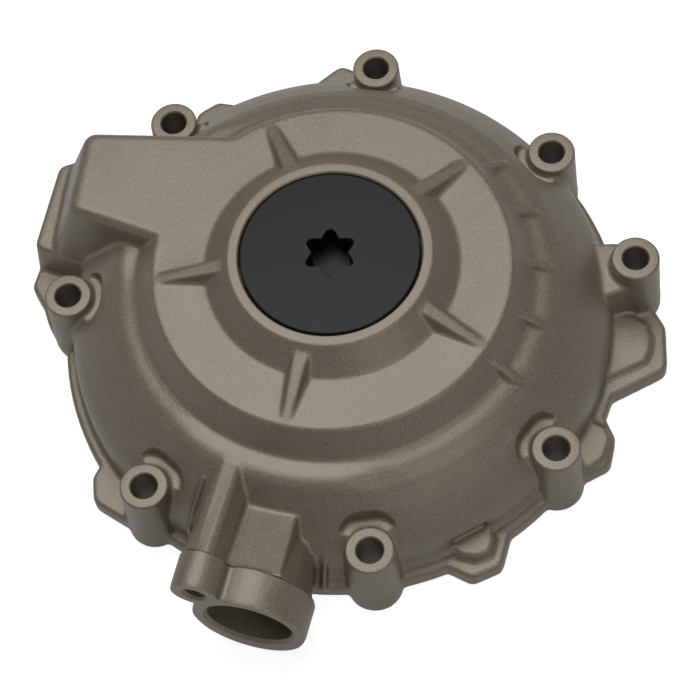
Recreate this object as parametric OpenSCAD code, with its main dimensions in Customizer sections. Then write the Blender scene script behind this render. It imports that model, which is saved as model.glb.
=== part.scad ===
// Stator cover of a motorcycle engine: one light-alloy casting with a screw plug over the crank bolt.
// The crank axis is Z, the gasket face is z = 0 and the plug looks up. Sizes are millimetres.

/* [Gasket flange] */
// Radius of the ring of cover bolts
bolt_r = 71; // [69:0.5:74]
// Flange metal outside the ring of bolts
flange_edge = 3.4; // [3:0.1:5]
// Thickness of the flange
flange_t = 5.5; // [4.5:0.5:7]
// Clearance hole of each cover bolt
bolt_hole_d = 6.8; // [6.4:0.1:7.2]
// Bolt boss just under its machined top
boss_d = 12.5; // [11.5:0.1:13]
// Bolt boss across its foot
boss_foot_d = 14.6; // [13.4:0.2:15.4]
// Height of the boss tops over the gasket face
boss_h = 24; // [22:0.5:26]
// Radius of the flange round each bolt hole
bolt_lobe_r = 7.2; // [6.6:0.2:8]
// Depth of the tool pocket behind each boss, below the boss top
pocket_drop = 2.5; // [1.5:0.5:4]
// Reach of the tool pocket from the bolt toward the crank axis
pocket_reach = 9.4; // [8.6:0.2:10.4]

/* [Domed shell] */
// Thickness of the cast wall
wall = 4; // [3:0.25:4.5]
// Flange ledge outside the shell
ledge_w = 3.3; // [2.5:0.1:5]
// Radius of the big shoulder round of the dome
shoulder_round = 12; // [9:0.5:14]
// Height at which the upright wall runs into the shoulder
shoulder_z = 11.8; // [10.5:0.1:14]
// Height of the flat band round the drum
band_z = 33; // [31:0.5:35]
// Width of the flat band
band_w = 5.6; // [4.5:0.1:7]
// Radius of the plateau edge
plateau_r = 46.2; // [44:0.2:48]
// Height of the plateau over the band
plateau_h = 7.7; // [6:0.1:9]
// Run of the sloped wall between plateau and band
drum_run = 5.3; // [4:0.1:7]
// Height of the collar over the plateau
collar_h = 6.3; // [5.5:0.1:8]
// Run of the sloped wall of the collar
collar_run = 6.4; // [5:0.1:8]
// Width of the machined ring round the plug
collar_rim = 2.75; // [2:0.05:4]

/* [Ribs] */
// Length of each collar rib from the collar rim outward
rib_len = 18.8; // [15:0.2:19]
// Width of a collar rib at the collar
rib_w = 4; // [3:0.1:5]
// Width of a drum rib
step_rib_w = 2.5; // [1.8:0.1:3.2]
// Angle between the drum ribs
step_rib_pitch = 17.5; // [14:0.5:20]

/* [Wire box] */
// Reach of the shelf beyond the flange
shelf_out = 11.6; // [10:0.1:12.5]
// Height of the shelf
shelf_z = 15.3; // [13:0.1:17]
// Width of the box at its outer end, just under the roof
box_w = 24; // [20:0.1:26]
// Reach of the box from the crank axis, just under the roof
box_reach = 72.3; // [70:0.1:75]

/* [Socket] */
// Bore of the socket
socket_bore_d = 21.9; // [20:0.1:23]
// Wall of the socket at its mouth
socket_wall = 3.7; // [3.3:0.05:4.5]
// Height of the socket axis
socket_z = 17.4; // [16.5:0.1:19]
// Distance of the socket axis from the crank axis, along X
socket_x = 0.8; // [-1:0.1:3]
// Distance of the mouth from the crank axis
socket_reach = 90.85; // [87:0.05:94]
// Length of the machined collar at the mouth
socket_collar = 9.45; // [7:0.05:11]
// Depth of the bore
socket_depth = 12; // [9:0.5:13]
// Tapping hole of the ear, for a 6 mm thread
ear_hole_d = 5; // [4:0.1:5.2]
// Radius of the ear
ear_r = 6.2; // [5.4:0.1:7]

/* [Screw plug] */
// Diameter of the plug head
plug_head_d = 46.1; // [44:0.1:48]
// Thickness of the plug head
plug_head_t = 4; // [3:0.1:4.8]
// Gap round the plug head
plug_gap = 0.3; // [0.2:0.05:0.6]
// Outer diameter of the plug thread
thread_d = 40; // [38:0.5:41]
// Radial gap round the thread
thread_gap = 0.05; // [0.03:0.01:0.1]
// Length of the threaded shank
shank_len = 12; // [10:0.5:14]
// Six-lobe recess across its points
recess_d = 13.2; // [11:0.1:15]
// Depth of the recess
recess_depth = 7; // [5:0.5:9]
// Section of the seal ring
seal_d = 1.65; // [1.5:0.05:1.7]

/* [Hidden] */
$fn = 96;

cast_colour = "#8f8573";
plug_colour = "#17181a";
seal_colour = "#0c0c0d";

// Cover bolts: azimuth, how far each lies off the ring of bolts, and whether it has a tool pocket
bolts = [
    [96.1, -0.8, true], [50.1, -0.8, true], [20.4, 7.2, false], [-24.8, 0.6, true],
    [-68.7, 1.1, true], [-118.2, 0.7, true], [-167.4, 0, true], [144, -0.6, true]
];
// The two bolts, counted from the first, whose holes are widened for locating sleeves
sleeve_bolts = [1, 5];

flange_r = bolt_r + flange_edge;
shell_r = flange_r - ledge_w;
draft = 1.5;
edge_round = 0.8;
band_round = 6;
drum_round = 1.5;
pocket_floor_z = boss_h - pocket_drop;
collar_r = plug_head_d / 2 + plug_gap + collar_rim;
collar_foot_r = collar_r + collar_run;
drum_foot_r = plateau_r + drum_run;
band_r = drum_foot_r + band_w;
plateau_z = band_z + plateau_h;
collar_z = plateau_z + collar_h;

// Places and thicknesses that stay as the casting has them
socket_draft = 0.1;
socket_clear_z = 0.15;
ear_at = [-12.3, 13.7];
passage_r = 8;
passage_drop = 3;
hub_wall = 6.9;
box_near_y = 1.2;
box_opens_x = -48;
// How much the faces of the wire box move outward per millimetre down
box_end_lean = 0.35;
box_near_lean = 0.086;
box_far_lean = 0.19;
// How much its two sides spread per millimetre toward the dome
box_near_fan = 0.139;
box_far_fan = 0.19;
shelf_near_y = 0.7;
shelf_far_y = 26.4;
hub_z = 24;
stator_pitch_r = 33;
stator_boss_r = 6.5;
stator_screws = 3;
stator_hole_d = 5;
stator_hole_depth = 10;
ear_hole_depth = 14;
hole_chamfer = 0.9;
sleeve_d = 8.2;
sleeve_depth = 6;
seat_z = collar_z - plug_head_t;
seal_groove_h = seal_d + 0.56;
seal_gap = 0.1;
plug_wall = 4.5;
plug_floor = 2.5;
bore_r = thread_d / 2 + thread_gap;
hub_r = bore_r + hub_wall;

function unit(v) = v / norm(v);
function along(a) = [cos(a), sin(a)];
function flat(c) = [c[0], c[1]];
function place(b) = (bolt_r + b[1]) * along(b[0]);

// Outline corners given as azimuth, distance beyond the flange edge, and corner radius
function rim(list) = [for (c = list) let (p = (flange_r + c[1]) * along(c[0])) [p[0], p[1], c[2]]];

// A closed outline with its corners rounded. Each corner is x, y and radius
function rounded(corners, steps = 4) = let (n = len(corners)) [
    for (i = [0 : n - 1])
        each corner_arc(corners[(i + n - 1) % n], corners[i], corners[(i + 1) % n], steps)
];
function corner_arc(before, c, after, steps) = c[2] == 0 ? [flat(c)] :
    let (
        a = unit(flat(before) - flat(c)),
        b = unit(flat(after) - flat(c)),
        half = acos(max(-1, min(1, a * b))) / 2,
        centre = flat(c) + unit(a + b) * c[2] / sin(half),
        start = unit(flat(c) + a * c[2] / tan(half) - centre),
        end = unit(flat(c) + b * c[2] / tan(half) - centre),
        turn = 180 - 2 * half
    )
    [for (k = [0 : steps]) let (t = k / steps)
        centre + c[2] * (start * sin((1 - t) * turn) + end * sin(t * turn)) / sin(turn)];

// The same outline moved inward all round, with its corner radii following
function shrunk(corners, d) = let (n = len(corners)) [
    for (i = [0 : n - 1])
        let (
            c = corners[i],
            a = unit(flat(c) - flat(corners[(i + n - 1) % n])),
            b = unit(flat(corners[(i + 1) % n]) - flat(c)),
            m = ([-a[1], a[0]] + [-b[1], b[0]]) / (1 + a * b),
            convex = a[0] * b[1] - a[1] * b[0] > 0
        )
        [c[0] + d * m[0], c[1] + d * m[1], c[2] == 0 ? 0 : (convex ? max(c[2] - d, 0.3) : c[2] + d)]
];

function ring(corners, z) = [for (p = rounded(corners)) [p[0], p[1], z]];
function tilted(points, z, slope) = [for (p = points) [p[0], p[1], z + slope[0] * p[0] + slope[1] * p[1]]];

// Solid through a pile of rings that have the same number of points
module stack(rings) {
    n = len(rings[0]);
    top = len(rings) - 1;
    points = [for (r = rings) each r];
    sides = [
        for (k = [0 : top - 1])
            for (i = [0 : n - 1])
                let (a = k * n + i, b = k * n + (i + 1) % n)
                each [[a, a + n, b + n], [a, b + n, b]]
    ];
    floor = [for (i = [0 : n - 1]) i];
    roof = [for (i = [n - 1 : -1 : 0]) top * n + i];
    polyhedron(points, concat([floor, roof], sides));
}

// Raised cast pad with sloping sides
module pad(corners, z, lean) {
    stack([ring(corners, flange_t - 1), ring(shrunk(corners, (z - flange_t + 1) * tan(lean)), z)]);
}

// Corners of the turned shell in the radius and height plane
slope_to = [band_r - shell_r + shoulder_round, band_z - shoulder_z];
slope_at = atan2(slope_to[1], slope_to[0]) - acos(shoulder_round / norm(slope_to));
shoulder_corner_z = shoulder_z + shoulder_round * tan(slope_at / 2);
shell_foot_r = shell_r + shoulder_corner_z * tan(draft);
function shell_corners(extra) = [
    [-extra, -extra, 0],
    [shell_foot_r + extra * tan(draft), -extra, 0],
    [shell_r, shoulder_corner_z, shoulder_round],
    [band_r, band_z, band_round],
    [drum_foot_r, band_z, drum_round],
    [plateau_r, plateau_z, drum_round],
    [collar_foot_r, plateau_z, drum_round],
    [collar_r, collar_z, 0],
    [-extra, collar_z, 0]
];

// Lobes and lugs of the gasket outline
shelf_lobe = concat(
    rim([[144, 1.9, 5], [162.6, 14.4, 2.5]]),
    [[-flange_r - shelf_out, -6.4, 3]],
    rim([[-172.2, 7.7, 3], [-168.4, 5.5, 3], [-162.5, 1.2, 4], [-160, -8, 0]]),
    [[-50, 0, 0]]
);
lug = rim([[-8, -8, 0], [-3.4, -0.2, 3], [4.4, 12.5, 3.5], [12.6, 11.4, 4], [16.2, 8.7, 1.5], [18, -8, 0]]);
lobe_east = rim([[-4, -8, 0], [-7.6, -0.6, 2.5], [-11.4, 4.7, 3], [-16.6, 6.8, 3], [-21.6, 2.9, 2.5],
    [-24, -8, 0]]);
lobe_south_east = rim([[-36, -8, 0], [-39.6, -0.2, 3], [-44.9, 6.1, 3], [-50.9, 5.5, 3], [-54.2, 0, 3],
    [-58, -8, 0]]);
lobe_south_west = rim([[-112, -6, 0], [-121, 3.7, 3], [-128.6, 6.7, 3.5], [-133, 3.2, 3], [-134.6, -0.4, 2.5],
    [-137, -8, 0]]);
lobe_north = rim([[90, -8, 0], [92.6, 2.6, 3], [93.4, 6, 3], [100, 4.9, 3], [102, 6.5, 2], [105, 8.7, 3],
    [112.4, 1.6, 2], [115, -2, 0], [113, -8, 0]]);
lobe_north_west = rim([[122, -8, 0], [124.6, 0.4, 2], [127.6, 3.2, 2], [130.6, 6.2, 3], [136, 5.7, 4],
    [142, -8, 0]]);
outline_lobes = [shelf_lobe, lug, lobe_east, lobe_south_east, lobe_south_west, lobe_north, lobe_north_west];
function signed_area(c) =
    let (n = len(c), part = [for (i = [0 : n - 1]) c[i][0] * c[(i + 1) % n][1] - c[i][1] * c[(i + 1) % n][0]])
    part * [for (i = [1 : n]) 0.5];
function ordered(c) = signed_area(c) > 0 ? c : [for (i = [len(c) - 1 : -1 : 0]) c[i]];

module gasket_outline(inset) {
    circle(r = flange_r - inset);
    for (b = bolts)
        translate(place(b)) circle(r = bolt_lobe_r - inset);
    for (c = outline_lobes)
        polygon(rounded(shrunk(ordered(c), inset)));
}

module flange() {
    linear_extrude(flange_t - edge_round) gasket_outline(0);
    translate([0, 0, flange_t - edge_round - 0.01])
        linear_extrude(edge_round + 0.01) gasket_outline(edge_round * 0.6);
}

module turned_shell() {
    rotate_extrude() polygon(rounded(shell_corners(0)));
}

// Low step that runs along the lower side of the shell foot
module foot_step() {
    step_r = shell_r + 1.4;
    step_z = flange_t + 2.7;
    step_break = 0.5;
    from = -85;
    to = -30;
    rotate([0, 0, from]) rotate_extrude(angle = to - from)
        polygon([[shell_r - 2, 0], [step_r, 0], [step_r, step_z - step_break], [step_r - step_break, step_z],
            [shell_r - 2, step_z]]);
}

// Cast rib lying on a slope: a wedge that falls from its inner to its outer end
module rib(r_in, z_in, r_out, z_out, w_in, w_out, root) {
    fall = (z_out - z_in) / (r_out - r_in);
    low = [[r_in - 1, -w_in / 2 - root, 0.3], [r_out + root, -w_out / 2 - root / 2, w_out / 2 + root / 3],
        [r_out + root, w_out / 2 + root / 2, w_out / 2 + root / 3], [r_in - 1, w_in / 2 + root, 0.3]];
    high = [[r_in - 1, -w_in / 2, 0.3], [r_out, -w_out / 2, w_out / 2.1],
        [r_out, w_out / 2, w_out / 2.1], [r_in - 1, w_in / 2, 0.3]];
    depth = 3.5;
    stack([
        tilted(rounded(low), z_in - fall * r_in - depth, [fall, 0]),
        tilted(rounded(high), z_in - fall * r_in, [fall, 0])
    ]);
}

module collar_ribs() {
    r_in = collar_r + 0.6;
    r_out = collar_r + rib_len;
    for (k = [0 : 4])
        rotate([0, 0, -90 + 72 * k])
            rib(r_in, collar_z - 1.2, r_out, plateau_z + 0.1, rib_w, 2.2, 1.4);
}

module drum_ribs() {
    for (k = [-2 : 2])
        rotate([0, 0, 16 + step_rib_pitch * k])
            rib(plateau_r + 1.2, plateau_z - 2.2, band_r - 0.6, band_z - 0.1, step_rib_w, 1.7, 0.8);
}

// Rounded outline of the tool pocket round a bolt, with the bolt at its origin and X pointing outward
module pocket_outline(grow) {
    reach = pocket_reach + grow;
    side_gap = 0.2;
    half = boss_foot_d / 2 + side_gap + grow;
    polygon(rounded([[-reach, -half, 5 + grow], [12, -half, 0], [12, half, 0], [-reach, half, 5 + grow]]));
}

module at_pocket_bolts() {
    for (b = bolts)
        if (b[2])
            translate(place(b)) rotate([0, 0, b[0]]) children();
}

module pockets() {
    at_pocket_bolts()
        translate([0, 0, pocket_floor_z]) linear_extrude(band_z) pocket_outline(0);
}

module boss(b) {
    rim_break = 0.6;
    translate(place(b)) {
        cylinder(h = boss_h - rim_break, d1 = boss_foot_d, d2 = boss_d);
        translate([0, 0, boss_h - rim_break]) cylinder(h = rim_break, d1 = boss_d, d2 = boss_d - 2 * rim_break);
    }
}

module bolt_hole(b) {
    break_edge = 0.33;
    translate(place(b)) {
        translate([0, 0, -1]) cylinder(h = boss_h + 2, d = bolt_hole_d);
        translate([0, 0, boss_h - break_edge])
            cylinder(h = 1 + break_edge, d1 = bolt_hole_d, d2 = bolt_hole_d + 2 * (1 + break_edge));
    }
}

// Outline of the wire box at a depth under the start of its roof round. It fans out toward the dome, and its
// faces lean out on the way down: side moves the near and far faces in, end moves the outer face in
function box_outline(depth, side, end, corner) =
    let (
        x_in = -30,
        x_out = -box_reach - box_end_lean * depth + end,
        out = end - box_end_lean * depth,
        near_y = box_near_y - box_near_fan * out - box_near_lean * depth + side,
        far_y = box_near_y + box_w + box_far_fan * (out - end) + box_far_lean * depth - side,
        skew = 2.1 + 0.045 * depth
    )
    [
        [x_in, near_y - box_near_fan * (x_in - x_out), 0],
        [x_in, far_y + box_far_fan * (x_in - x_out), 0],
        [x_out - skew, far_y - 0.4, corner],
        [x_out, near_y, corner]
    ];
module wire_box() {
    lean = 18;
    end_round = 3.5;
    side_round = 2;
    start_z = plateau_z - end_round * (1 - sin(lean));
    foot = start_z - flange_t + 1;
    stack(concat(
        [ring(ordered(box_outline(foot, 0, 0, 4)), flange_t - 1)],
        [for (a = [lean, 42, 66, 90])
            let (
                side = side_round * (cos(lean) - cos(a)),
                end = end_round * (cos(lean) - cos(a))
            )
            ring(ordered(box_outline(0, side, end, 3.2 - side)), plateau_z - end_round * (1 - sin(a)))]
    ));
}

// Outline of the shelf under the wire box: spread is 0 at its top and 1 at its foot
function shelf_outline(spread) =
    let (x_out = -flange_r - shelf_out)
    [
        [-55, shelf_near_y - 1.1 - 2.8 * spread, 0],
        [-52, shelf_far_y + 15.6 + 4 * spread, 0],
        [-62, shelf_far_y + 15.1 + 3.5 * spread, 3],
        [x_out - 0.8 - 0.2 * spread, shelf_far_y + 0.8 * spread, 3],
        [x_out + 0.2 - 0.7 * spread, shelf_near_y - 1.9 * spread, 2.5],
        [-72, shelf_near_y - 2 - 2.3 * spread, 2]
    ];
module wire_shelf() {
    top_round = 1.2;
    top = ordered(shelf_outline(0));
    stack([
        ring(ordered(shelf_outline(1)), 1),
        ring(top, shelf_z - top_round),
        ring(shrunk(top, top_round * 0.3), shelf_z - top_round * 0.3),
        ring(shrunk(top, top_round), shelf_z)
    ]);
}

// Wide gusset between the dome and the bolt boss that stands off the ring, laid out round that boss
module side_gusset() {
    s = boss_foot_d / 2;
    corners = [[-3 * s, -s - 1.2, 0], [-s - 2.3, -s - 0.8, 2], [-2, 0.9 - s, 2], [2.2, 1, 2],
        [-2.8, s + 1.1, 2], [-2.1 * s, s + 2.4, 0]];
    gusset_z = boss_h - 5;
    edge = 0.6;
    b = bolts[2];
    translate(place(b)) rotate([0, 0, b[0]])
        stack([ring(corners, flange_t - 1), ring(shrunk(corners, edge), gusset_z - edge),
            ring(shrunk(corners, 2 * edge), gusset_z)]);
}

// Raised cast pads on the lug and the small lobes
pad_h = 3.5;
module pads() {
    pad(ordered(rim([[-1.6, -3, 0], [4.4, 7.4, 2.5], [7.2, 8.6, 3], [9.8, 8.6, 3], [13, 7.4, 2.5],
        [15.6, 2.6, 2.5], [15, -8, 0], [0, -8, 0]])), flange_t + 1.7, 29);
    pad(ordered(rim([[-9.6, -4, 0], [-10, 1.7, 2], [-11.9, 4.5, 2.5], [-16.4, 5.6, 2.5], [-20.8, 3.4, 2],
        [-20, -4, 0]])), flange_t + 1.5, 25);
    pad(ordered(rim([[-41.8, -3.6, 0.8], [-43.2, 0.2, 1.5], [-45.6, 3.2, 2.5], [-49, 2.5, 2.5], [-51.4, 0, 1.5],
        [-53.2, -3.6, 0.8], [-51, -9, 0], [-44, -9, 0]])), flange_t + pad_h, 14);
}
// Flat cut into the shell over the tallest of the pads
module pad_notch() {
    rotate([0, 0, -47.8]) translate([shell_r - 1.6, -5.2, flange_t + pad_h])
        cube([6, 10.4, 4]);
}

// Socket across the lower side: a stout tube with a tapped ear, along -Y
module to_socket(y) {
    translate([socket_x, -y, socket_z]) rotate([90, 0, 0]) children();
}
socket_r = socket_bore_d / 2 + socket_wall;
socket_step = socket_reach - socket_collar;
// A second, slimmer round under the tube reaches down to just clear of the gasket face
low_r = socket_r - 1;
low_drop = socket_z - low_r - socket_draft - socket_clear_z;

module socket_collar_body() {
    mouth_break = 0.5;
    to_socket(socket_step) {
        for (tube = [[0, socket_r], [low_drop, low_r]])
            translate([0, -tube[0], 0]) {
                cylinder(h = socket_collar - mouth_break, r1 = tube[1] + socket_draft, r2 = tube[1]);
                translate([0, 0, socket_collar - mouth_break])
                    cylinder(h = mouth_break, r1 = tube[1], r2 = tube[1] - mouth_break);
            }
        translate([-low_r - 0.05, -low_drop, 0])
            cube([2 * low_r + 0.1, low_drop, socket_collar - mouth_break]);
        translate(ear_at) {
            cylinder(h = socket_collar - mouth_break, r = ear_r);
            translate([0, 0, socket_collar - mouth_break])
                cylinder(h = mouth_break, r1 = ear_r, r2 = ear_r - mouth_break);
        }
        translate([ear_at[0] * 0.75, ear_at[1] * 0.75, 0])
            cylinder(h = socket_collar - mouth_break, r = 4.4);
    }
}

// Cross-section rings of the socket's body behind the collar: x and height, at a distance from the crank axis
function wall_ring(list, y) = [for (p = list) [p[0], -y, p[1]]];
module socket_body() {
    front = socket_step + 0.05;
    back = 58;
    slope = 0.302;
    fall = slope * (front - back);
    top = socket_z + 0.95 * socket_r;
    x = socket_x;
    r = socket_r;
    z_low = 0.3;
    stack([
        wall_ring([[x - r / 3, z_low], [x + r / 3, z_low], [x + r / 2, 4], [x + r / 2, socket_z - 4],
            [x + 0.44 * r, top - 9 - fall], [x + 0.37 * r, top - fall], [x - 0.44 * r, top - fall],
            [x - 0.61 * r, top - 2 - fall]], back),
        wall_ring([[x - 0.41 * r, z_low], [x + 0.41 * r, z_low], [x + 0.85 * r, 6],
            [x + 0.955 * r, socket_z + 2.8], [x + 0.73 * r, top - 4.4], [x + 0.48 * r, top - 0.2],
            [x - r / 3, top], [x - 0.955 * r, top - 2]], front)
    ]);
}

module ear_ridge() {
    front = socket_step + 0.05;
    back = 52;
    slope = 0.175;
    fall = slope * (front - back);
    top = socket_z + ear_at[1] + ear_r;
    x = socket_x + ear_at[0];
    r = ear_r;
    z_low = 0.3;
    stack([
        wall_ring([[x - 0.77 * r, z_low], [x + 0.8 * r, z_low], [x + 0.65 * r, top - 6 - fall],
            [x + r / 3, top - 0.7 - fall], [x + 0.16 * r, top - fall], [x - 0.42 * r, top - fall],
            [x - 0.61 * r, top - 1.2 - fall], [x - 0.77 * r, top - 6 - fall]], back),
        wall_ring([[x - 0.96 * r, z_low], [x + 1.1 * r, z_low], [x + 0.84 * r, top - 5.4],
            [x + 0.45 * r, top - 0.8], [x + 0.2 * r, top], [x - 0.3 * r, top - 0.5], [x - 0.65 * r, top - 3],
            [x - 0.96 * r, top - 7]], front)
    ]);
}

// Thin cast fin beside the ear's ridge, standing just proud of the shell's shoulder
module side_fin() {
    fin_t = 1;
    rotate([90, 0, -107.6]) translate([0, 0, -fin_t / 2])
        linear_extrude(fin_t)
            polygon([[56, 4], [shell_r + 2, 4], [shell_r + 1.8, 10], [shell_r + 0.8, 15.4], [shell_r - 3, 21.4],
                [shell_r - 9, 28], [56, 24]]);
}

// Short cast web between the other side of the socket's body and the flange
module side_web() {
    translate([socket_x + 13.2, 0, 0]) rotate([90, 0, 90])
        linear_extrude(1.1)
            polygon([[-68, flange_t - 1], [-74, flange_t - 1], [-74, flange_t + 1.5], [-70, 15.5], [-66, 18]]);
}

module socket_bores() {
    passage_from = 50;
    to_socket(socket_reach - socket_depth) cylinder(h = socket_depth + 1, d = socket_bore_d);
    to_socket(socket_reach - hole_chamfer)
        cylinder(h = hole_chamfer + 1, d1 = socket_bore_d, d2 = socket_bore_d + 2 * (hole_chamfer + 1));
    to_socket(passage_from) translate([0, -passage_drop, 0])
        cylinder(h = socket_reach - socket_depth + 1 - passage_from, r = passage_r);
    to_socket(socket_reach - ear_hole_depth) translate(ear_at) {
        cylinder(h = ear_hole_depth + 1, d = ear_hole_d);
        translate([0, 0, ear_hole_depth - hole_chamfer])
            cylinder(h = hole_chamfer + 1, d1 = ear_hole_d, d2 = ear_hole_d + 2 * (hole_chamfer + 1));
    }
}

module at_stator_screws() {
    for (k = [1 : stator_screws])
        rotate([0, 0, 90 + k * 360 / stator_screws]) translate([stator_pitch_r, 0, 0]) children();
}

// Hidden side: the hollow of the shell with the bolt columns, the plug hub and the three stator bosses left in
module hollow() {
    difference() {
        union() {
            translate([0, 0, -1]) cylinder(h = 1.5, r = shell_foot_r - wall);
            rotate_extrude() polygon(rounded(shrunk(shell_corners(wall), wall)));
        }
        for (b = bolts)
            translate(place(b)) translate([0, 0, -2]) cylinder(h = boss_h + 2, r = bolt_lobe_r);
        at_pocket_bolts()
            translate([0, 0, pocket_floor_z - wall]) linear_extrude(band_z) pocket_outline(wall * 0.8);
        translate([0, 0, hub_z]) cylinder(h = collar_z, r = hub_r);
        at_stator_screws()
            translate([0, 0, hub_z]) cylinder(h = collar_z, r = stator_boss_r);
    }
    box_hollow();
}

module box_hollow() {
    roof_z = plateau_z - wall;
    depth = roof_z - flange_t;
    stack([
        ring(ordered(hollow_outline(depth)), -1),
        ring(ordered(hollow_outline(depth)), flange_t),
        ring(ordered(hollow_outline(0)), roof_z)
    ]);
}
function hollow_outline(depth) = let (c = shrunk(ordered(box_outline(depth, 0, 0, wall + 2)), wall))
    [for (p = c) [min(p[0], box_opens_x), p[1], p[2]]];

module plug_bores() {
    counterbore_r = plug_head_d / 2 + plug_gap;
    translate([0, 0, hub_z - 1]) cylinder(h = collar_z, r = bore_r);
    translate([0, 0, seat_z]) cylinder(h = collar_z, r = counterbore_r);
    translate([0, 0, collar_z - 0.4]) cylinder(h = 0.5, r1 = counterbore_r, r2 = counterbore_r + 0.5);
}

// The casting is put together from three lots: the turned blank, the flange and its bosses, and the socket
module blank() {
    union() {
        union() {
            difference() {
                union() {
                    turned_shell();
                    wire_box();
                }
                pockets();
                pad_notch();
            }
            side_gusset();
        }
        collar_ribs();
        drum_ribs();
    }
}

module gasket_side() {
    union() {
        union() {
            flange();
            foot_step();
            pads();
        }
        wire_shelf();
        for (b = bolts) boss(b);
    }
}

module socket_side() {
    union() {
        union() {
            socket_body();
            ear_ridge();
        }
        socket_collar_body();
        side_fin();
        side_web();
    }
}

module cover() {
    color(cast_colour)
    difference() {
        union() {
            union() {
                blank();
                gasket_side();
            }
            socket_side();
        }
        hollow();
        plug_bores();
        socket_bores();
        for (b = bolts) bolt_hole(b);
        for (i = sleeve_bolts)
            translate(place(bolts[i])) translate([0, 0, -1]) cylinder(h = sleeve_depth + 1, d = sleeve_d);
        at_stator_screws()
            translate([0, 0, hub_z - 1]) cylinder(h = stator_hole_depth + 1, d = stator_hole_d);
    }
}

// Six round lobes with hollows between them
module recess_outline() {
    lobe = recess_d * 0.12;
    hollow_r = recess_d * 0.19;
    turn = 43;
    core_r = recess_d / 2 - lobe * 0.55;
    difference() {
        circle(r = core_r);
        for (k = [0 : 5])
            rotate([0, 0, turn + 30 + 60 * k]) translate([recess_d * 0.545, 0]) circle(r = hollow_r);
    }
    for (k = [0 : 5])
        rotate([0, 0, turn + 60 * k]) translate([recess_d / 2 - lobe, 0]) circle(r = lobe);
}

module screw_plug() {
    head_r = plug_head_d / 2;
    groove_r = thread_d / 2 + thread_gap - seal_d - 2 * seal_gap;
    edge = 0.6;
    color(plug_colour)
    difference() {
        union() {
            translate([0, 0, seat_z]) cylinder(h = plug_head_t - edge, r = head_r);
            translate([0, 0, collar_z - edge]) cylinder(h = edge, r1 = head_r, r2 = head_r - edge);
            translate([0, 0, seat_z - seal_groove_h]) cylinder(h = seal_groove_h, r = groove_r);
            translate([0, 0, seat_z - shank_len]) cylinder(h = shank_len - seal_groove_h, d = thread_d);
        }
        translate([0, 0, collar_z - recess_depth]) linear_extrude(recess_depth + 1) recess_outline();
        translate([0, 0, seat_z - shank_len - 1])
            cylinder(h = shank_len + 1 + plug_head_t - recess_depth - plug_floor, r = thread_d / 2 - plug_wall);
    }
}

module plug_seal() {
    color(seal_colour)
        translate([0, 0, seat_z - seal_groove_h / 2])
            rotate_extrude() translate([bore_r - seal_d / 2 - seal_gap, 0]) circle(d = seal_d, $fn = 32);
}

cover();
screw_plug();
plug_seal();
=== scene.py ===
import math

import bpy
from mathutils import Matrix, Vector
from mathutils.bvhtree import BVHTree


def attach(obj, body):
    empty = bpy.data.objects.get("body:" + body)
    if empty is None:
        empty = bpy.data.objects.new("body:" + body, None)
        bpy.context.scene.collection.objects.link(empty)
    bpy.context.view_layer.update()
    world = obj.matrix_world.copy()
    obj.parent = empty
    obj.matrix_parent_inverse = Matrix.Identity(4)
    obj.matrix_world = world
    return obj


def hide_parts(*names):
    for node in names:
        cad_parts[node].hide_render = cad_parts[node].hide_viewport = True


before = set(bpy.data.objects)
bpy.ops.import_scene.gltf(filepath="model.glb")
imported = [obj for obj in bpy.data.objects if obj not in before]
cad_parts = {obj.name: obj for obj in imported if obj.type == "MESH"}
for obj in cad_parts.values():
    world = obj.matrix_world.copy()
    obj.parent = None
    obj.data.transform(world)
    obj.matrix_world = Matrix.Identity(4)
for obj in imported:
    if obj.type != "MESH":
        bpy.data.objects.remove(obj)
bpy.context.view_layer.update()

# ---- Cover
# The real piece is one pressure die casting in aluminium alloy. The melt runs round every inner corner of the
# die, so the metal leaves it with fillets in the corners and small rounds on the edges, inside and outside. It is
# then milled and bored where other parts meet it, and powder coated from outside.

# Sizes are millimetres, places are azimuth in degrees and radius
MM = 0.001
collar_top, boss_top, hub_foot = 47.0, 24.0, 24.0
bolt_places = [(96.1, 70.2), (50.1, 70.2), (20.4, 78.2), (-24.8, 71.6),
               (-68.7, 72.1), (-118.2, 71.7), (-167.4, 71.0), (144.0, 70.4)]
bolt_hole_r, boss_r, boss_round = 3.4, 6.25, 0.6
sleeve_bolts, sleeve_r, sleeve_deep = (1, 5), 4.1, 6.0
stator_places = [(90, 33.0), (210, 33.0), (330, 33.0)]
stator_hole_r, stator_hole_deep = 2.5, 9.0
bore_r, seat_r, collar_round = 20.05, 23.35, 1.2
seat = collar_top - 4
socket_x, socket_z, mouth_y = 0.8, 17.4, -90.85
socket_r, socket_deep, tube_r, collar_long = 10.95, 12.0, 14.7, 9.45
ear_dx, ear_dz = -12.3, 13.7
ear_x, ear_z = socket_x + ear_dx, socket_z + ear_dz
ear_r, ear_hole_r, ear_hole_deep = 6.2, 2.5, 14.0
fillet_r = 0.45
grid = 0.35
skin_faces = 170000


def at(place):
    """X and Y of a place"""
    return place[1] * math.cos(math.radians(place[0])), place[1] * math.sin(math.radians(place[0]))


def pick_none():
    """Leaves edit mode and selects nothing"""
    if bpy.context.object and bpy.context.object.mode != "OBJECT":
        bpy.ops.object.mode_set(mode="OBJECT")
    bpy.ops.object.select_all(action="DESELECT")


def pick(thing):
    """Selects one object alone and makes it the active one"""
    bpy.ops.object.select_all(action="DESELECT")
    thing.select_set(True)
    bpy.context.view_layer.objects.active = thing
    return thing


def apply_modifier(thing, kind, **settings):
    """Gives an object one modifier and applies it"""
    pick(thing)
    modifier = thing.modifiers.new(kind.lower(), kind)
    for key, value in settings.items():
        setattr(modifier, key, value)
    bpy.ops.object.modifier_apply(modifier=modifier.name)


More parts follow.
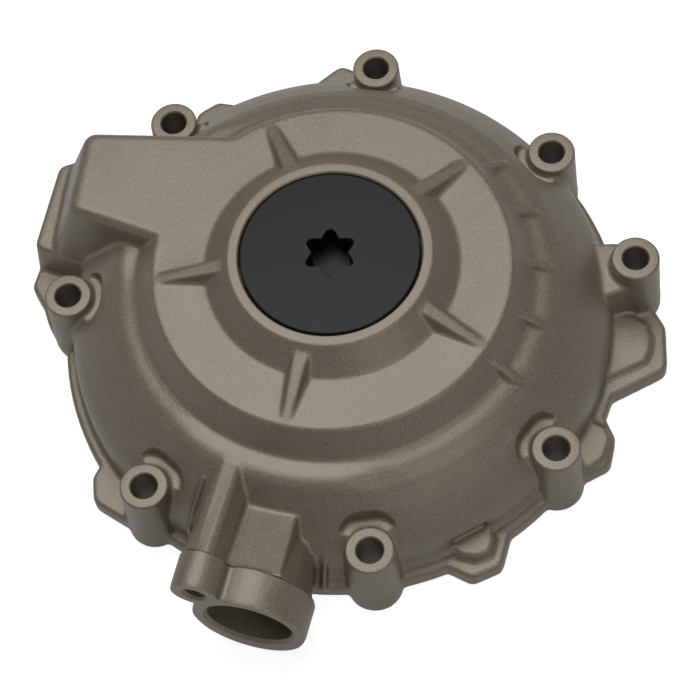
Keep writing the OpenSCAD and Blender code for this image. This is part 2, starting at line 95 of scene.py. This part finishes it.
def settle(thing):
    """Puts the object's place and turn into its mesh and turns all faces outward"""
    pick(thing)
    bpy.ops.object.transform_apply(location=True, rotation=True, scale=True)
    bpy.ops.object.mode_set(mode="EDIT")
    bpy.ops.mesh.select_all(action="SELECT")
    bpy.ops.mesh.remove_doubles(threshold=0.002 * MM)
    bpy.ops.mesh.normals_make_consistent(inside=False)
    bpy.ops.object.mode_set(mode="OBJECT")
    return thing


def rod(name, foot, radius, length, along=(0, 0, 1), sides=64):
    """A plain round bar from its foot"""
    pick_none()
    axis = Vector(along).normalized()
    middle = (Vector(foot) + axis * length / 2) * MM
    bpy.ops.mesh.primitive_cylinder_add(vertices=sides, radius=radius * MM, depth=length * MM,
                                        location=middle, rotation=axis.to_track_quat("Z", "Y").to_euler())
    bpy.context.object.name = name
    return settle(bpy.context.object)


def join(name, things):
    """Makes one object of several, under a new name"""
    pick(things[0])
    for thing in things[1:]:
        thing.select_set(True)
    bpy.ops.object.join()
    things[0].name = name
    return things[0]


def move_skin(thing, distance):
    """Moves the whole skin along its normals"""
    apply_modifier(thing, "DISPLACE", strength=distance * MM, mid_level=0.0)


def fuse(thing):
    """Makes one closed skin of all that overlaps"""
    apply_modifier(thing, "REMESH", mode="VOXEL", voxel_size=grid * MM, adaptivity=0.0)


pick_none()
casting = bpy.data.objects.new("cast_cover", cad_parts["cover"].data.copy())
bpy.context.scene.collection.objects.link(casting)
casting.data.materials.clear()
pick(casting)
bpy.ops.object.mode_set(mode="EDIT")
bpy.ops.mesh.select_all(action="SELECT")
bpy.ops.mesh.remove_doubles(threshold=0.002 * MM)
bpy.ops.object.mode_set(mode="OBJECT")

# Bores and machined faces leave the foundry solid and with stock, so they are filled here and cut later. Each
# filling reaches a little past its bore all round, and starts a little inside the face that the cutter opens
lap, sink, face_stock = 0.5, 0.4, 0.7
stock = []
for place in bolt_places:
    x, y = at(place)
    stock.append(rod("stock", (x, y, sink), bolt_hole_r + lap, boss_top + sink))
    stock.append(rod("stock", (x, y, boss_top - face_stock), boss_r + 0.1, 1.3))
    stock.append(rod("stock", (x, y, sink), sleeve_r + lap, sleeve_deep + sink))
for place in stator_places:
    x, y = at(place)
    stock.append(rod("stock", (x, y, hub_foot + 0.2), stator_hole_r + 0.4, stator_hole_deep + 1.5))
stock.append(rod("stock", (0, 0, hub_foot + 0.3), bore_r + 0.55, 18, sides=128))
stock.append(rod("stock", (0, 0, seat - 3), seat_r + 2.55, 8, sides=128))
outward = (0, -1, 0)
stock.append(rod("stock", (socket_x, mouth_y + socket_deep + 0.2, socket_z), socket_r + 0.45, socket_deep + 0.4,
                 outward, 96))
stock.append(rod("stock", (socket_x, mouth_y + face_stock, socket_z), tube_r - 0.3, 2 * face_stock, outward, 96))
stock.append(rod("stock", (ear_x, mouth_y + ear_hole_deep + 0.1, ear_z), ear_hole_r + 0.4, ear_hole_deep + 0.6,
                 outward, 48))
stock.append(rod("stock", (ear_x, mouth_y + face_stock, ear_z), ear_r - 0.2, 2 * face_stock, outward, 48))
casting = join("cast_cover", [casting] + stock)

# Outward, fused and back inward again leaves a fillet in each inner corner
fuse(casting)
move_skin(casting, fillet_r)
fuse(casting)
move_skin(casting, -fillet_r)
fuse(casting)
apply_modifier(casting, "SMOOTH", factor=0.5, iterations=2)
apply_modifier(casting, "DECIMATE", decimate_type="COLLAPSE",
               ratio=min(1.0, skin_faces / (2 * len(casting.data.polygons))))

# The band round the drum has draft: it falls toward its outer edge and runs into the shoulder. The draft fades
# out at the wire box, at the socket's ridges, up the drum's ribs and down the shoulder
band_in, band_out, shoulder_out, band_fall = 52.0, 57.4, 65.0, 1.3
box_azimuth, box_half, socket_azimuth, socket_half, fade = 163, 23, -94, 21, 9
shoulder_low, shoulder_fade, rib_high, rib_fade = 24.5, 3, 33.8, 0.6


def apart(azimuth, other):
    """Degrees between two azimuths"""
    return abs((azimuth - other + 180) % 360 - 180)


for v in casting.data.vertices:
    r, z = Vector((v.co.x, v.co.y)).length / MM, v.co.z / MM
    if band_in < r < shoulder_out and z > shoulder_low:
        azimuth = math.degrees(math.atan2(v.co.y, v.co.x))
        off_raised = min(apart(azimuth, box_azimuth) - box_half, apart(azimuth, socket_azimuth) - socket_half)
        clear = max(0, min(1, off_raised / fade))
        off_ribs = max(0, min(1, (rib_high - z) / rib_fade))
        share = (r - band_in) / (band_out - band_in)
        if r >= band_out:
            share = (shoulder_out - r) / (shoulder_out - band_out)
        v.co.z -= band_fall * share * clear * off_ribs * min(1, (z - shoulder_low) / shoulder_fade) * MM


def draw_line(name, points):
    """A bare line through points of radius and height"""
    pick_none()
    bpy.ops.mesh.primitive_plane_add(size=MM, location=(0, 0, 0))
    thing = bpy.context.object
    thing.name = name
    bpy.ops.object.mode_set(mode="EDIT")
    bpy.ops.mesh.merge(type="CENTER")
    here = Vector((0, 0, 0))
    for k, (r, z) in enumerate(points):
        step = Vector((r, 0, z)) * MM - here
        if k == 0:
            bpy.ops.transform.translate(value=step)
        else:
            bpy.ops.mesh.extrude_region_move(TRANSFORM_OT_translate={"value": step})
        here = Vector((r, 0, z)) * MM
    bpy.ops.mesh.select_all(action="SELECT")
    return thing


def stand(thing, centre, axis):
    """Sets a shape that was made about Z on its own centre and axis"""
    bpy.ops.object.mode_set(mode="OBJECT")
    thing.rotation_euler = Vector(axis).to_track_quat("Z", "Y").to_euler()
    thing.location = Vector(centre) * MM
    return settle(thing)


def turned(name, profile, centre=(0, 0, 0), axis=(0, 0, 1), steps=72):
    """A lathe shape from a profile that starts and ends on the axis"""
    thing = draw_line(name, profile)
    bpy.ops.mesh.spin(steps=steps, angle=2 * math.pi, center=(0, 0, 0), axis=(0, 0, 1))
    bpy.ops.mesh.select_all(action="SELECT")
    bpy.ops.mesh.remove_doubles(threshold=0.001 * MM)
    bpy.ops.mesh.normals_make_consistent(inside=False)
    return stand(thing, centre, axis)


def coil(name, radius, depth, start, turns, lead, steps=72, centre=(0, 0, 0), axis=(0, 0, 1)):
    """A helical ridge of V section that winds up from its start height"""
    half, land = lead * 0.44, lead * 0.07
    thing = draw_line(name, [(radius - depth, start - half), (radius, start - land),
                             (radius, start + land), (radius - depth, start + half)])
    bpy.ops.mesh.edge_face_add()
    bpy.ops.object.mode_set(mode="OBJECT")
    apply_modifier(thing, "SCREW", angle=2 * math.pi, screw_offset=lead * MM, iterations=turns, steps=steps,
                   render_steps=steps, axis="Z")
    bpy.ops.object.mode_set(mode="EDIT")
    bpy.ops.mesh.select_all(action="SELECT")
    bpy.ops.mesh.fill_holes(sides=4)
    return stand(thing, centre, axis)


def arc(cx, cz, r, start, end, count=5):
    """Points of a round in a profile, from one angle in degrees to another"""
    return [(cx + r * math.cos(math.radians(start + (end - start) * k / count)),
             cz + r * math.sin(math.radians(start + (end - start) * k / count))) for k in range(count + 1)]


def cut(thing, tools):
    """Takes each tool's shape away, and then the tool"""
    for tool in tools:
        apply_modifier(thing, "BOOLEAN", operation="DIFFERENCE", solver="MANIFOLD", object=tool)
        bpy.data.objects.remove(tool)


# Cutters turned to the tools' own shapes take the stock away. One faces each boss top, rounds its rim, bores it
# and breaks the bore's edge. Others bore for the sleeves and mill the joint face
run_out = 2
boss_high, boss_step, joint_face_r = boss_top + 3, boss_top - 1.4, 130
boss_tools = []
for place in bolt_places:
    x, y = at(place)
    rim = arc(boss_r - boss_round, boss_top - boss_round, boss_round, 0, 90)
    profile = [(0, boss_high), (boss_r + 0.7, boss_high), (boss_r + 0.7, boss_step),
               (boss_r + 0.02, boss_step)] + rim + \
        [(bolt_hole_r + 0.33, boss_top), (bolt_hole_r, boss_top - 0.33), (bolt_hole_r, -run_out), (0, -run_out)]
    boss_tools.append(turned("boss_tool", profile, (x, y, 0), steps=64))
sleeve_profile = [(0, sleeve_deep), (sleeve_r, sleeve_deep), (sleeve_r, 0.4), (sleeve_r + 0.4, 0),
                  (sleeve_r + 0.4, -run_out), (0, -run_out)]
sleeve_tools = [turned("sleeve_tool", sleeve_profile, (*at(bolt_places[i]), 0)) for i in sleeve_bolts]
face_mill = turned("face_mill", [(0, 0), (joint_face_r, 0), (joint_face_r, -3), (0, -3)])
cut(casting, [join("boss_tools", boss_tools), join("sleeve_tools", sleeve_tools), face_mill])

# The plug's seat and bore, with the collar's rim, and the hub's foot with its three screw holes
collar_high, collar_wide, collar_flat_r, hub_face_r = collar_top + 3, 30, 25.6, 30.6
rim = arc(collar_flat_r, collar_top - collar_round, collar_round, 45, 90)
seat_profile = [(0, collar_high), (collar_wide, collar_high), (collar_wide, collar_top - 0.25),
                (collar_flat_r + 1.15, collar_top - 0.55)] + rim + \
    [(seat_r + 0.4, collar_top), (seat_r, collar_top - 0.4), (seat_r, seat), (bore_r + 0.55, seat),
     (bore_r, seat - 0.55), (bore_r, hub_foot + 0.6), (bore_r + 0.55, hub_foot), (hub_face_r, hub_foot),
     (hub_face_r, hub_foot - run_out), (0, hub_foot - run_out)]
plug_seat_tool = turned("plug_seat_tool", seat_profile, steps=160)
stator_end, stator_face_r = hub_foot + stator_hole_deep, 7.5
stator_profile = [(0, stator_end + 1), (stator_hole_r, stator_end), (stator_hole_r, hub_foot + 0.5),
                  (stator_hole_r + 0.5, hub_foot), (stator_face_r, hub_foot),
                  (stator_face_r, hub_foot - run_out), (0, hub_foot - run_out)]
stator_tools = [turned("stator_tool", stator_profile, (*at(place), 0), steps=40) for place in stator_places]
cut(casting, [plug_seat_tool, join("stator_tools", stator_tools)])

# The socket's mouth and bore, and the ear's hole
edge, mouth_face_r = 0.9, 34
inward = (0, 1, 0)
mouth_profile = [(0, socket_deep), (socket_r, socket_deep), (socket_r, edge), (socket_r + edge, 0),
                 (mouth_face_r, 0), (mouth_face_r, -6), (0, -6)]
mouth_tool = turned("mouth_tool", mouth_profile, (socket_x, mouth_y, socket_z), inward, steps=128)
ear_profile = [(0, ear_hole_deep + 1.3), (ear_hole_r, ear_hole_deep), (ear_hole_r, edge), (ear_hole_r + edge, 0),
               (ear_hole_r + edge, -3), (0, -3)]
ear_tool = turned("ear_tool", ear_profile, (ear_x, mouth_y, ear_z), inward, steps=48)
cut(casting, [mouth_tool, ear_tool])

# The ear is tapped for a 6 mm screw with a pitch of 1 mm
screw_r, screw_pitch = 3.0, 1.0
tap = coil("tap", screw_r, 0.6, 0.3, 12, screw_pitch, 48, (ear_x, mouth_y, ear_z), inward)
cut(casting, [tap])

# The die's slide closes behind the collar and leaves a fine sunk line round it
line_y, line_w, line_deep = mouth_y + collar_long, 0.5, 0.42
low_r = 13.65
web_share, web_r = 0.75, 4.4
line_tool = rod("line_tool", (socket_x - 3, line_y, socket_z - 1), 34, line_w, outward, 96)
kept = [rod("kept", (socket_x, line_y + 1, socket_z), tube_r - line_deep, 3, outward, 128),
        rod("kept", (socket_x, line_y + 1, low_r + 0.25), low_r - line_deep, 3, outward, 128),
        rod("kept", (ear_x, line_y + 1, ear_z), ear_r - line_deep, 3, outward, 96),
        rod("kept", (socket_x + ear_dx * web_share, line_y + 1, socket_z + ear_dz * web_share), web_r, 3,
            outward, 48)]
cut(line_tool, kept)
cut(casting, [line_tool])


def linear(code):
    """An sRGB hex colour as linear red, green, blue and alpha"""
    parts = [int(code[i:i + 2], 16) / 255 for i in (1, 3, 5)]
    return tuple(c / 12.92 if c <= 0.04045 else ((c + 0.055) / 1.055) ** 2.4 for c in parts) + (1.0,)


def add(tree, kind, settings=None, links=None):
    """Adds a node, sets its inputs or properties by name or place, and links inputs to other nodes' outputs"""
    node = tree.nodes.new(kind)
    for key, value in (settings or {}).items():
        if key == "stops":
            for stop, (position, code) in zip(node.color_ramp.elements, value):
                stop.color = linear(code)
                stop.position = position
        elif isinstance(key, int) or key in node.inputs:
            node.inputs[key].default_value = value
        else:
            setattr(node, key, value)
    for key, source in (links or {}).items():
        tree.links.new(source, node.inputs[key])
    return node


def new_material(name):
    """An empty finish: its node tree, its surface shader and the place on the piece that patterns read"""
    material = bpy.data.materials.new(name)
    material.use_nodes = True
    material.node_tree.nodes.clear()
    tree = material.node_tree
    surface = add(tree, "ShaderNodeBsdfPrincipled")
    add(tree, "ShaderNodeOutputMaterial", links={"Surface": surface.outputs["BSDF"]})
    spot = add(tree, "ShaderNodeTexCoord").outputs["Object"]
    return material, tree, surface, spot


# Champagne metallic powder coat over the cast skin: aluminium flakes in a tinted binder. Flakes of about 0.4 mm
# and the powder's orange peel of about 1 mm, both drawn coarser than real so that they show, give the eye a fine
# sandy grain with no clear highlight. The tone drifts a little over some 20 mm.
cast_paint, tree, surface, spot = new_material("champagne_metallic_powder_coat")
flake = add(tree, "ShaderNodeTexNoise", {"Scale": 2300.0, "Detail": 2.0, "Roughness": 0.7}, {"Vector": spot})
peel = add(tree, "ShaderNodeTexNoise", {"Scale": 900.0, "Detail": 3.0, "Roughness": 0.6}, {"Vector": spot})
cloud = add(tree, "ShaderNodeTexNoise", {"Scale": 45.0, "Detail": 2.0}, {"Vector": spot})
grain = add(tree, "ShaderNodeValToRGB", {"stops": [(0.3, "#6b6052"), (0.7, "#b4a893")]},
            {"Fac": flake.outputs["Fac"]})
tone = add(tree, "ShaderNodeValToRGB", {"stops": [(0.3, "#8a7e6d"), (0.7, "#958978")]},
           {"Fac": cloud.outputs["Fac"]})
# This node's share is at place 0, its two colours at 6 and 7, and its colour output at 2
both = add(tree, "ShaderNodeMix", {"data_type": "RGBA", 0: 0.4},
           {6: grain.outputs["Color"], 7: tone.outputs["Color"]})
tree.links.new(both.outputs[2], surface.inputs["Base Color"])
surface.inputs["Metallic"].default_value = 0.45
surface.inputs["Coat Weight"].default_value = 0.8
surface.inputs["Coat Roughness"].default_value = 0.4
shine = add(tree, "ShaderNodeMapRange", {"From Min": 0.3, "From Max": 0.7, "To Min": 0.36, "To Max": 0.56},
            {"Value": flake.outputs["Fac"]})
tree.links.new(shine.outputs["Result"], surface.inputs["Roughness"])
relief = add(tree, "ShaderNodeBump", {"Strength": 0.6, "Distance": 0.08 * MM}, {"Height": peel.outputs["Fac"]})
grit = add(tree, "ShaderNodeBump", {"Strength": 0.6, "Distance": 0.06 * MM},
           {"Height": flake.outputs["Fac"], "Normal": relief.outputs["Normal"]})
tree.links.new(grit.outputs["Normal"], surface.inputs["Normal"])
tree.links.new(grit.outputs["Normal"], surface.inputs["Coat Normal"])

# Bare die-cast aluminium, as the die leaves it on the inside: dull silver grey, blotchy over about 10 mm, with a
# skin that is pitted about every 0.7 mm
cast_metal, tree, surface, spot = new_material("bare_cast_aluminium")
blotch = add(tree, "ShaderNodeTexNoise", {"Scale": 90.0, "Detail": 5.0, "Roughness": 0.65}, {"Vector": spot})
grey = add(tree, "ShaderNodeValToRGB", {"stops": [(0.3, "#8f9090"), (0.7, "#b4b4b2")]},
           {"Fac": blotch.outputs["Fac"]})
tree.links.new(grey.outputs["Color"], surface.inputs["Base Color"])
surface.inputs["Metallic"].default_value = 0.85
surface.inputs["Roughness"].default_value = 0.52
skin = add(tree, "ShaderNodeTexNoise", {"Scale": 1400.0, "Detail": 3.0}, {"Vector": spot})
pits = add(tree, "ShaderNodeBump", {"Strength": 0.3, "Distance": 0.04 * MM}, {"Height": skin.outputs["Fac"]})
tree.links.new(pits.outputs["Normal"], surface.inputs["Normal"])

# Milled aluminium of the joint face and bores: bright, with feed marks 1.2 mm apart, coarser than a real mill's
# so that they show
milled_metal, tree, surface, spot = new_material("milled_aluminium")
marks = add(tree, "ShaderNodeTexWave", {"wave_type": "RINGS", "rings_direction": "Z", "Scale": 260.0,
                                       "Distortion": 1.5, "Detail": 1.0, "Detail Scale": 20.0}, {"Vector": spot})
bright = add(tree, "ShaderNodeValToRGB", {"stops": [(0.0, "#b9bab9"), (1.0, "#cfd0ce")]},
             {"Fac": marks.outputs["Fac"]})
tree.links.new(bright.outputs["Color"], surface.inputs["Base Color"])
surface.inputs["Metallic"].default_value = 1.0
surface.inputs["Roughness"].default_value = 0.3
feed = add(tree, "ShaderNodeBump", {"Strength": 0.12, "Distance": 0.02 * MM}, {"Height": marks.outputs["Fac"]})
tree.links.new(feed.outputs["Normal"], surface.inputs["Normal"])

# The coat is sprayed from outside: metal that faces down or has cover above it stays bare, inside the hollow and
# the wire box. The tool pockets behind the bosses are open to the spray. The joint face and the hub's foot are
# milled last
coated, bare, milled = 0, 1, 2
inner_r, box_x, box_y = 69, (-78, -50), (4, 24)
pocket_low, pocket_r, cover_high = 19, 9, 60
casting.data.materials.clear()
for finish in (cast_paint, cast_metal, milled_metal):
    casting.data.materials.append(finish)
roof = BVHTree.FromPolygons([v.co for v in casting.data.vertices], [p.vertices[:] for p in casting.data.polygons])
bolts_xy = [Vector(at(place)) for place in bolt_places]
for p in casting.data.polygons:
    p.material_index = coated
    x, y, z = p.center / MM
    near_axis = Vector((x, y)).length < inner_r
    in_box = box_x[0] < x < box_x[1] and box_y[0] < y < box_y[1]
    if z < 0.02 and p.normal.z < -0.9:
        p.material_index = milled
    elif near_axis or in_box:
        above = roof.ray_cast(p.center + p.normal * 0.05 * MM, Vector((0, 0, 1)), cover_high * MM)[0]
        in_pocket = z > pocket_low and min((Vector((x, y)) - b).length for b in bolts_xy) < pocket_r
        if p.normal.z < -0.5 or (above is not None and not in_pocket):
            p.material_index = bare
            if abs(z - hub_foot) < 0.03 and p.normal.z < -0.9:
                p.material_index = milled
pick(casting)
bpy.ops.object.shade_smooth_by_angle(angle=math.radians(32))
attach(casting, "casting")
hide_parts("cover")

# ---- Screw plug
# The real plug is turned from aluminium bar, with a six-lobe recess broached into its head and a fine thread of
# 1.5 mm pitch on its shank, then finished in satin black. A groove under the head carries the seal.

head_r, head_round, thread_r, pitch, shank_long = 23.05, 0.55, 20.0, 1.5, 12
root_r = thread_r - 0.92
shank_end = seat - shank_long
cup_r, cup_deep = 15.2, 7.5
seal_d, seal_air, groove_h = 1.65, 0.1, 2.21
groove_r = bore_r - seal_d - 2 * seal_air

plug_profile = [(0, collar_top), (head_r - head_round, collar_top)] + \
    arc(head_r - head_round, collar_top - head_round, head_round, 80, 0) + \
    [(head_r, seat + 0.3), (head_r - 0.3, seat), (groove_r, seat), (groove_r, seat - groove_h),
     (root_r, seat - 2.6), (root_r, shank_end + 0.6), (root_r - 0.6, shank_end), (cup_r + 0.3, shank_end),
     (cup_r, shank_end + 0.3), (cup_r, shank_end + cup_deep), (0, shank_end + cup_deep)]
plug = turned("plug_body", plug_profile, steps=192)
ridge = coil("plug_thread", thread_r, 1.0, shank_end + 0.95, 5, pitch, 96)
apply_modifier(plug, "BOOLEAN", operation="UNION", solver="MANIFOLD", object=ridge)
bpy.data.objects.remove(ridge)

# The broach: six round lobes with hollows between, led in by a small chamfer
recess_r, recess_deep, recess_turn, recess_core, lobe_share, lobe_pinch = 6.6, 7.0, 43, 0.7, 0.3, 1.1
lead_in, lead_wide = 0.3, 1.09
pick_none()
bpy.ops.mesh.primitive_circle_add(vertices=144, radius=recess_r * MM, fill_type="NGON",
                                  location=(0, 0, (collar_top - recess_deep) * MM))
broach = bpy.context.object
broach.name = "broach"
for v in broach.data.vertices:
    azimuth = math.atan2(v.co.y, v.co.x)
    wave = 0.5 + 0.5 * math.cos(6 * (azimuth - math.radians(recess_turn)))
    r = recess_r * (recess_core + lobe_share * wave ** lobe_pinch)
    v.co.x, v.co.y = r * math.cos(azimuth) * MM, r * math.sin(azimuth) * MM
bpy.ops.object.mode_set(mode="EDIT")
bpy.ops.mesh.select_all(action="SELECT")
bpy.ops.mesh.extrude_region_move(TRANSFORM_OT_translate={"value": (0, 0, (recess_deep - lead_in) * MM)})
bpy.ops.mesh.extrude_region_move(TRANSFORM_OT_translate={"value": (0, 0, 2 * lead_in * MM)})
bpy.ops.transform.resize(value=(lead_wide, lead_wide, 1))
bpy.ops.object.mode_set(mode="OBJECT")
settle(broach)
cut(plug, [broach])
pick(plug)
bpy.ops.object.shade_smooth_by_angle(angle=math.radians(30))

# Satin black finish on aluminium: a soft broad sheen and a very fine tooth of about 0.4 mm, drawn coarser than
# real so that it shows
plug_black, tree, surface, spot = new_material("satin_black_finish")
tooth = add(tree, "ShaderNodeTexNoise", {"Scale": 2600.0, "Detail": 2.0}, {"Vector": spot})
black = add(tree, "ShaderNodeValToRGB", {"stops": [(0.3, "#0d0e0f"), (0.7, "#141516")]},
            {"Fac": tooth.outputs["Fac"]})
tree.links.new(black.outputs["Color"], surface.inputs["Base Color"])
surface.inputs["Roughness"].default_value = 0.36
surface.inputs["Specular IOR Level"].default_value = 0.3
bite = add(tree, "ShaderNodeBump", {"Strength": 0.08, "Distance": 0.03 * MM}, {"Height": tooth.outputs["Fac"]})
tree.links.new(bite.outputs["Normal"], surface.inputs["Normal"])
plug.data.materials.clear()
plug.data.materials.append(plug_black)
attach(plug, "plug")
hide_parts("screw_plug")

# ---- Plug seal
# A moulded nitrile rubber O-ring of 1.65 mm section in the groove under the plug's head. It shows only when the
# plug is out, matt black with the fine flash line that the mould leaves round it.
cord_r = seal_d / 2
ring_r = bore_r - cord_r - seal_air
flash = 0.05
pick_none()
bpy.ops.mesh.primitive_torus_add(major_radius=ring_r * MM, minor_radius=cord_r * MM, major_segments=160,
                                 minor_segments=20, location=(0, 0, (seat - groove_h / 2) * MM))
seal = bpy.context.object
seal.name = "seal_ring"
settle(seal)
bpy.ops.object.mode_set(mode="EDIT")
bpy.ops.mesh.select_all(action="DESELECT")
bpy.ops.object.mode_set(mode="OBJECT")
for e in seal.data.edges:
    ends = (seal.data.vertices[i].co for i in e.vertices)
    e.select = min(Vector((end.x, end.y)).length for end in ends) > (ring_r + cord_r - 0.01) * MM
bpy.ops.object.mode_set(mode="EDIT")
bpy.ops.mesh.bevel(offset=flash * MM, segments=2)
bpy.ops.object.mode_set(mode="OBJECT")
bpy.ops.object.shade_smooth()

# Moulded nitrile rubber: matt black, with a faint grey bloom in patches of about 2.5 mm
seal_rubber, tree, surface, spot = new_material("moulded_nitrile_rubber")
bloom = add(tree, "ShaderNodeTexNoise", {"Scale": 400.0, "Detail": 3.0}, {"Vector": spot})
matt = add(tree, "ShaderNodeValToRGB", {"stops": [(0.35, "#0b0b0c"), (0.65, "#141415")]},
           {"Fac": bloom.outputs["Fac"]})
tree.links.new(matt.outputs["Color"], surface.inputs["Base Color"])
surface.inputs["Roughness"].default_value = 0.6
dimple = add(tree, "ShaderNodeBump", {"Strength": 0.1, "Distance": 0.02 * MM}, {"Height": bloom.outputs["Fac"]})
tree.links.new(dimple.outputs["Normal"], surface.inputs["Normal"])
seal.data.materials.clear()
seal.data.materials.append(seal_rubber)
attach(seal, "seal")
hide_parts("plug_seal")

# ---- Studio
# The cover lies on its joint face on a pale table under a broad soft lamp, and the camera looks down on it from
# the socket's side at the photograph's angle.
table_wide, table_drop, table_glow, mirror_share, room_light = 6.0, 0.0001, 0.86, 0.25, 0.03


def white_share(tree):
    """How much of the white backdrop a ray sees: all of it from the camera, a part in a reflection, else none"""
    ray = add(tree, "ShaderNodeLightPath")
    mirrored = add(tree, "ShaderNodeMath", {"operation": "MULTIPLY", 1: mirror_share},
                   {0: ray.outputs["Is Glossy Ray"]})
    return add(tree, "ShaderNodeMath", {"operation": "MAXIMUM"},
               {0: ray.outputs["Is Camera Ray"], 1: mirrored.outputs[0]}).outputs[0]


pick_none()
bpy.ops.mesh.primitive_plane_add(size=table_wide, location=(0, 0, -table_drop))
floor = bpy.context.object
floor.name = "pale_floor"
pale, tree, surface = new_material("pale_table")[:3]
surface.inputs["Base Color"].default_value = linear("#c6c6c4")
surface.inputs["Roughness"].default_value = 0.8
surface.inputs["Emission Color"].default_value = linear("#ffffff")
glow = add(tree, "ShaderNodeMath", {"operation": "MULTIPLY", 1: table_glow}, {0: white_share(tree)})
tree.links.new(glow.outputs[0], surface.inputs["Emission Strength"])
floor.data.materials.append(pale)

world = bpy.data.worlds.new("studio")
bpy.context.scene.world = world
world.use_nodes = True
tree = world.node_tree
tree.nodes.clear()
strength = add(tree, "ShaderNodeMapRange", {"To Min": room_light, "To Max": 1.0}, {"Value": white_share(tree)})
back = add(tree, "ShaderNodeBackground", {"Color": linear("#ffffff")}, {"Strength": strength.outputs["Result"]})
add(tree, "ShaderNodeOutputWorld", links={"Surface": back.outputs["Background"]})


def lamp(name, here, target, size, power):
    """A square softbox that points at a target, in metres and watts"""
    data = bpy.data.lights.new(name, "AREA")
    data.shape, data.size, data.energy = "SQUARE", size, power
    thing = bpy.data.objects.new(name, data)
    thing.location = here
    thing.rotation_euler = (Vector(target) - Vector(here)).to_track_quat("-Z", "Y").to_euler()
    bpy.context.scene.collection.objects.link(thing)


lamp("overhead_softbox", (-0.17, 0.22, 1.1), (0, 0, 0), 1.0, 6.0)
lamp("side_softbox", (0.75, -0.6, 0.75), (0, 0, 0.02), 0.7, 1.3)

# The camera's place, its three directions and its lens are fitted to the photograph
camera = bpy.data.objects.new("camera", bpy.data.cameras.new("camera"))
right, down, ahead = (Vector(v) for v in ((0.96465, 0.25283, -0.0743), (0.19514, -0.87483, -0.44338),
                                          (-0.1771, 0.41321, -0.89325)))
look = Matrix((right, -down, -ahead)).transposed().to_4x4()
camera.matrix_world = Matrix.Translation(Vector((0.11942, -0.27613, 0.58885))) @ look
camera.data.sensor_width = 36
camera.data.lens = 126.36
camera.data.clip_start = 0.01
bpy.context.scene.collection.objects.link(camera)
bpy.context.scene.camera = camera
bpy.context.scene.view_settings.view_transform = "Standard"
